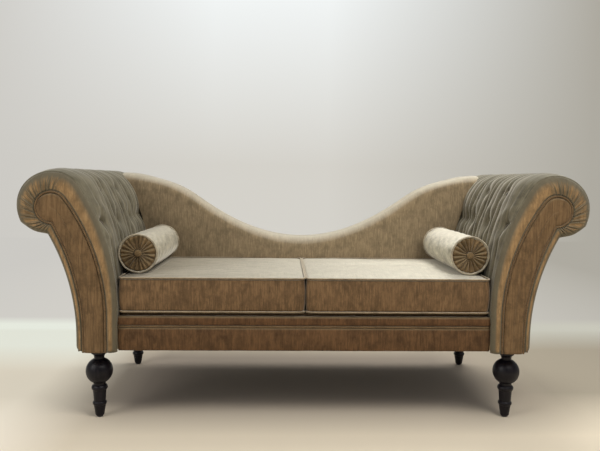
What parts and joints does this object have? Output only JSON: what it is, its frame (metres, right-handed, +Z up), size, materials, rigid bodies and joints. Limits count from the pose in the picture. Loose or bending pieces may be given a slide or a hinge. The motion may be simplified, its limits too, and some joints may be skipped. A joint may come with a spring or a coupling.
{
  "type": "recamier",
  "caption": "Double-ended upholstered recamier with scroll arms, a serpentine low back, loose seat cushions, bolsters and turned legs.",
  "frame": {"origin": "on the floor under the middle of the piece's bounding box", "axes": "+X along the length towards the right arm as seen from the front, -Y to the front, +Z up"},
  "size_m": [1.84, 0.715, 0.824],
  "materials": {
    "velvet": "crushed velvet with a vertical strié, taupe to golden brown",
    "velvet_piping": "self-covered piping cord in the same velvet",
    "ebonised_wood": "near-black satin lacquer on turned hardwood",
    "frame_timber": "raw birch plywood and hardwood, hidden",
    "lining_board": "bent board lining, hidden",
    "spring_steel": "oiled spring wire",
    "zinc_steel": "zinc-plated steel",
    "deck_cloth": "padded platform cloth",
    "dust_cloth": "black non-woven dust cover",
    "zip_tape": "woven zip tape with a nylon coil",
    "zip_metal": "antique brass zip slider",
    "glide_plastic": "black nail-on glide"
  },
  "bodies": {
    "frame": {"front_left_leg": "ebonised_wood", "front_right_leg": "ebonised_wood", "rear_left_leg": "ebonised_wood", "rear_right_leg": "ebonised_wood", "foot_glides": "glide_plastic", "leg_bolts": "zinc_steel", "leg_plates": "zinc_steel", "front_seat_rail": "frame_timber", "rear_seat_rail": "frame_timber", "side_rails": "frame_timber", "seat_stretcher": "frame_timber", "corner_blocks": "frame_timber", "left_arm_front_board": "frame_timber", "right_arm_front_board": "frame_timber", "left_arm_rear_board": "frame_timber", "right_arm_rear_board": "frame_timber", "left_arm_rails": "frame_timber", "right_arm_rails": "frame_timber", "left_arm_lining": "lining_board", "right_arm_lining": "lining_board", "back_board": "frame_timber", "back_uprights": "frame_timber", "back_lining": "lining_board", "seat_springs": "spring_steel", "spring_clips": "zinc_steel", "seat_deck": "deck_cloth", "dust_cover": "dust_cloth", "left_arm_pad": "velvet", "right_arm_pad": "velvet", "left_arm_buttons": "velvet", "right_arm_buttons": "velvet", "left_arm_outer_panel": "velvet", "right_arm_outer_panel": "velvet", "left_arm_front_band": "velvet", "right_arm_front_band": "velvet", "left_arm_facing": "velvet", "right_arm_facing": "velvet", "left_arm_welt": "velvet_piping", "right_arm_welt": "velvet_piping", "back_pad": "velvet", "back_outer_panel": "velvet", "front_border_upper": "velvet", "front_border_lower": "velvet", "front_border_welt": "velvet_piping"},
    "left_cushion": {"left_seat_cushion": "velvet", "left_cushion_welts": "velvet_piping", "left_cushion_zip": "zip_tape"},
    "right_cushion": {"right_seat_cushion": "velvet", "right_cushion_welts": "velvet_piping", "right_cushion_zip": "zip_tape"},
    "left_slider": {"left_zip_slider": "zip_metal"},
    "right_slider": {"right_zip_slider": "zip_metal"},
    "left_roll": {"left_bolster": "velvet", "left_bolster_caps": "velvet", "left_bolster_buttons": "velvet", "left_bolster_welts": "velvet_piping"},
    "right_roll": {"right_bolster": "velvet", "right_bolster_caps": "velvet", "right_bolster_buttons": "velvet", "right_bolster_welts": "velvet_piping"}
  },
  "joints": [
    {"name": "left_cushion_lift", "type": "slide", "parent": "frame", "child": "left_cushion", "axis": [0, 0, 1], "range_m": [0, 0.5]},
    {"name": "right_cushion_lift", "type": "slide", "parent": "frame", "child": "right_cushion", "axis": [0, 0, 1], "range_m": [0, 0.5]},
    {"name": "left_bolster_lift", "type": "slide", "parent": "left_cushion", "child": "left_roll", "axis": [0, 0, 1], "range_m": [0, 0.4]},
    {"name": "right_bolster_lift", "type": "slide", "parent": "right_cushion", "child": "right_roll", "axis": [0, 0, 1], "range_m": [0, 0.4]},
    {"name": "left_zip_slide", "type": "slide", "parent": "left_cushion", "child": "left_slider", "axis": [-1, 0, 0], "range_m": [0, 0.415]},
    {"name": "right_zip_slide", "type": "slide", "parent": "right_cushion", "child": "right_slider", "axis": [1, 0, 0], "range_m": [0, 0.415]}
  ]
}
